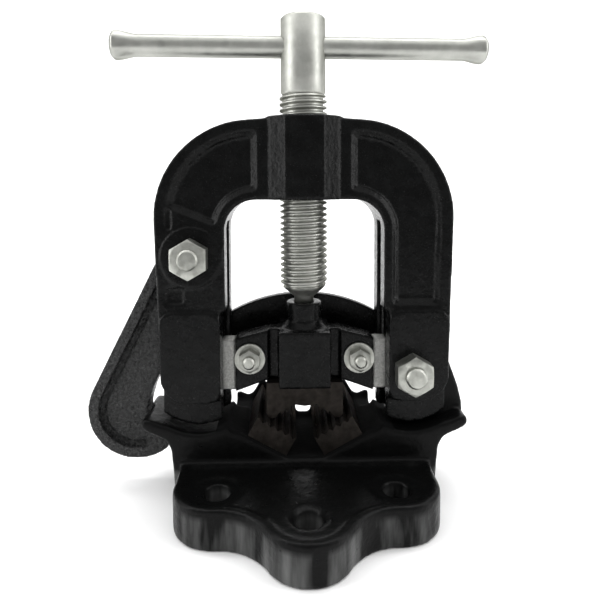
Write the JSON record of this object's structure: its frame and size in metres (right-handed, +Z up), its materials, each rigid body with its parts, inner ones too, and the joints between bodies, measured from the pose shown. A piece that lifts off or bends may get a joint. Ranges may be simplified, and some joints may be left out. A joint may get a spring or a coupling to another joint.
{
  "type": "hinged pipe vise",
  "caption": "Cast bench vise for pipe: a hinged yoke with a screw-driven toothed upper jaw over two lower jaws, locked by a side latch hook.",
  "frame": {"origin": "on the bench face, under the axis of the screw, in the plane of symmetry of the yoke", "axes": "+Z up along the screw, +Y to the back along the pipe, +X to the hinge side"},
  "size_m": [0.2049, 0.112, 0.2386],
  "materials": {
    "enamel": "glossy black enamel over rough cast iron",
    "spindle_steel": "turned and zinc plated steel",
    "zinc": "zinc plated fasteners",
    "jaw_steel": "hardened dark steel with a brown oil finish",
    "dark_steel": "plain dark steel"
  },
  "bodies": {
    "base_body": {"base": "enamel", "lower_jaw_left": "jaw_steel", "lower_jaw_right": "jaw_steel", "lower_jaw_screws": "dark_steel"},
    "yoke_body": {"yoke": "enamel", "hinge_bolt": "zinc", "hinge_nut": "zinc", "latch_bolt": "zinc", "latch_nut": "zinc"},
    "latch_body": {"latch_hook": "enamel"},
    "holder_body": {"jaw_holder": "enamel", "rear_guide_plate": "enamel", "guide_bolt_left": "zinc", "guide_bolt_right": "zinc", "guide_washer_left": "zinc", "guide_washer_right": "zinc", "guide_nut_left": "zinc", "guide_nut_right": "zinc", "spindle_retaining_pins": "dark_steel", "upper_jaw": "jaw_steel", "upper_jaw_pin": "dark_steel"},
    "spindle_body": {"screw_spindle": "spindle_steel"},
    "bar_body": {"tommy_bar": "spindle_steel"}
  },
  "joints": [
    {"name": "yoke_hinge", "type": "hinge", "parent": "base_body", "child": "yoke_body", "pos_m": [0.0525, 0, 0.063], "axis": [0, 1, 0], "range_deg": [0, 90]},
    {"name": "latch_swing", "type": "hinge", "parent": "yoke_body", "child": "latch_body", "pos_m": [-0.055, 0, 0.12], "axis": [0, 1, 0], "range_deg": [0, 99]},
    {"name": "jaw_slide", "type": "slide", "parent": "yoke_body", "child": "holder_body", "axis": [0, 0, 1], "range_m": [0, 0.0511]},
    {"name": "spindle_turn", "type": "hinge", "parent": "holder_body", "child": "spindle_body", "pos_m": [0, 0, 0.2], "axis": [0, 0, 1], "range_deg": [0, 6120]},
    {"name": "tommy_bar_slide", "type": "slide", "parent": "spindle_body", "child": "bar_body", "axis": [0.9986, 0.0523, 0], "range_m": [-0.071, 0.071]}
  ],
  "couplings": [
    {"joint": "latch_swing", "follows": "yoke_hinge", "ratio": 1.1},
    {"joint": "jaw_slide", "follows": "spindle_turn", "m_per_rad": 0.00047746}
  ]
}
